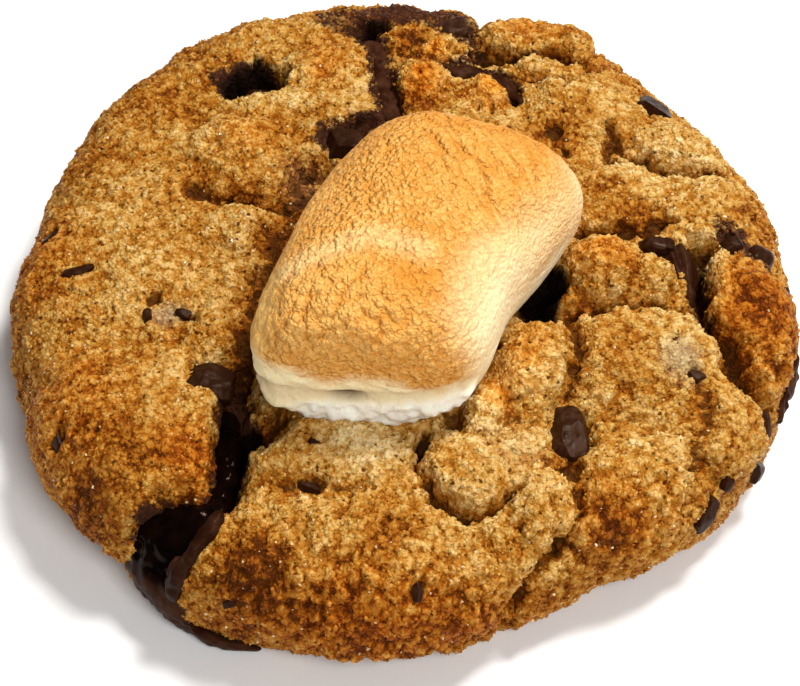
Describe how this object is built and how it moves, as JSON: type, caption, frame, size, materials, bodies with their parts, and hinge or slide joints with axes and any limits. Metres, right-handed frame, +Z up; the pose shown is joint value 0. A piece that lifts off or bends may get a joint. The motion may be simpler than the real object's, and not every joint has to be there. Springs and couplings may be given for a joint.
{
  "type": "chocolate chip cookie with toasted marshmallow",
  "caption": "Thick soft-baked chocolate chunk cookie, round and craggy, with a toasted marshmallow lying melted into its top.",
  "frame": {"origin": "centre of the cookie's box in plan, on the surface that it rests on", "axes": "+Z up; +Y away from the side where melted chocolate runs over the edge at the left; +X to the right"},
  "size_m": [0.0992, 0.1006, 0.0395],
  "materials": {
    "crust": "baked crumb, matte with sugary grains",
    "marshmallow": "toasted, satin leathery skin, cream where untoasted",
    "chocolate": "dark chocolate, satin with a little bloom",
    "melted_chocolate": "melted dark chocolate, glossy"
  },
  "bodies": {
    "root": {"cookie": "crust", "marshmallow": "marshmallow", "chunk_split_head": "chocolate", "chip_left": "chocolate", "chip_left_edge": "chocolate", "chip_lower_left": "chocolate", "chunk_cavity": "chocolate", "chunk_behind_marshmallow": "chocolate", "chunk_back_edge": "chocolate", "chip_back_right": "chocolate", "chunk_right_block": "chocolate", "chunk_right_rim_a": "chocolate", "chunk_right_rim_b": "chocolate", "chip_right_edge": "chocolate", "chunk_right_low_a": "chocolate", "chunk_right_low_b": "chocolate", "chunk_front_face": "chocolate", "chunk_front_right_a": "chocolate", "chunk_front_right_b": "chocolate", "chip_pale_mass_a": "chocolate", "chip_pale_mass_b": "chocolate", "chip_front_a": "chocolate", "chip_front_b": "chocolate", "chip_front_c": "chocolate", "chip_front_d": "chocolate", "chip_front_e": "chocolate", "chip_grey_a": "chocolate", "chip_grey_b": "chocolate", "melt_split": "melted_chocolate", "melt_back_streak": "melted_chocolate", "melt_back_vein": "melted_chocolate", "melt_right_drip": "melted_chocolate", "melt_right_edge": "melted_chocolate"}
  },
  "joints": []
}
